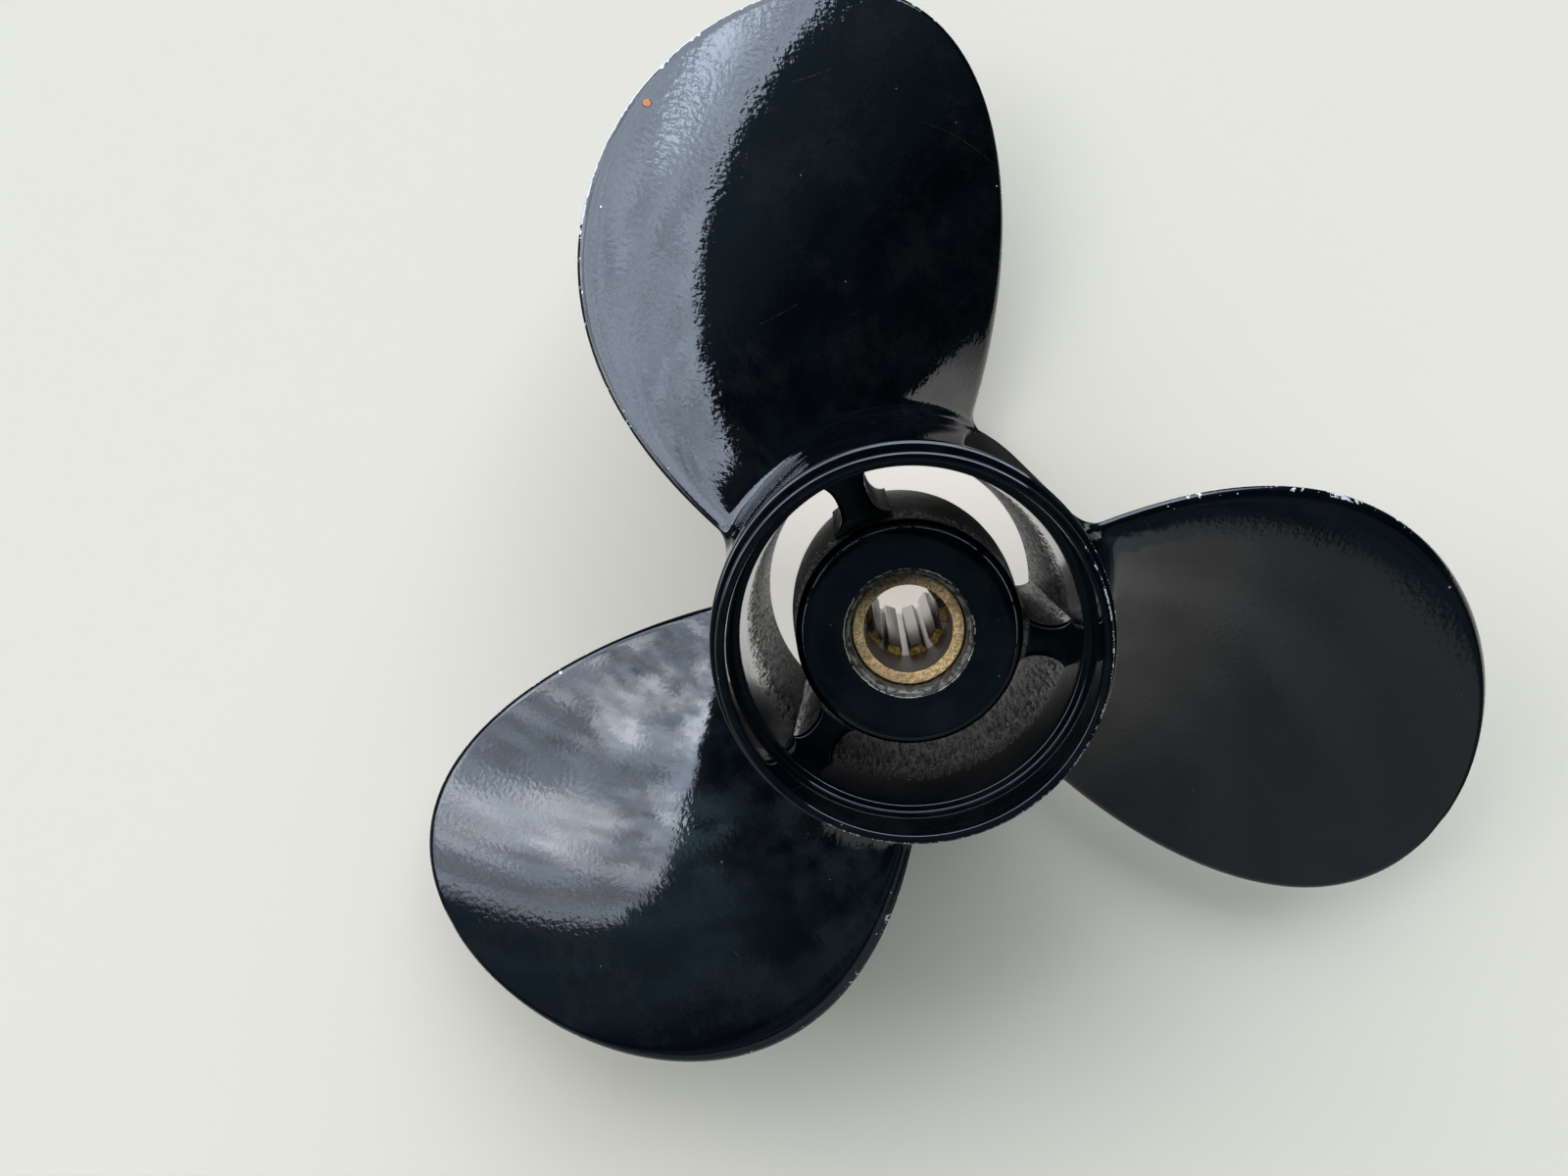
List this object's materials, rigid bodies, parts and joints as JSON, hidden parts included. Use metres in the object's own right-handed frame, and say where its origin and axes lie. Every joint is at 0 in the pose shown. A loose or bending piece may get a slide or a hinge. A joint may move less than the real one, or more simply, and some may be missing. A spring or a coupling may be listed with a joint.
{
  "type": "ship propeller",
  "caption": "Outboard boat propeller with wide blades, exhaust passages through the hub and a splined bore.",
  "frame": {"origin": "centre of the barrel's flat front face, on the shaft axis", "axes": "+Z along the shaft axis from the front end to the aft end; the part turns clockwise seen from +Z, and one blade points 6 degrees below +X"},
  "size_m": [0.2317, 0.2263, 0.104],
  "materials": {
    "black_paint": "gloss black paint on cast aluminium, chipped at the edges",
    "brass": "dull machined brass with a coarse end face",
    "rubber": "plain black moulded rubber"
  },
  "bodies": {
    "root": {"propeller_casting": "black_paint", "splined_sleeve": "brass", "rubber_bush": "rubber"}
  },
  "joints": []
}
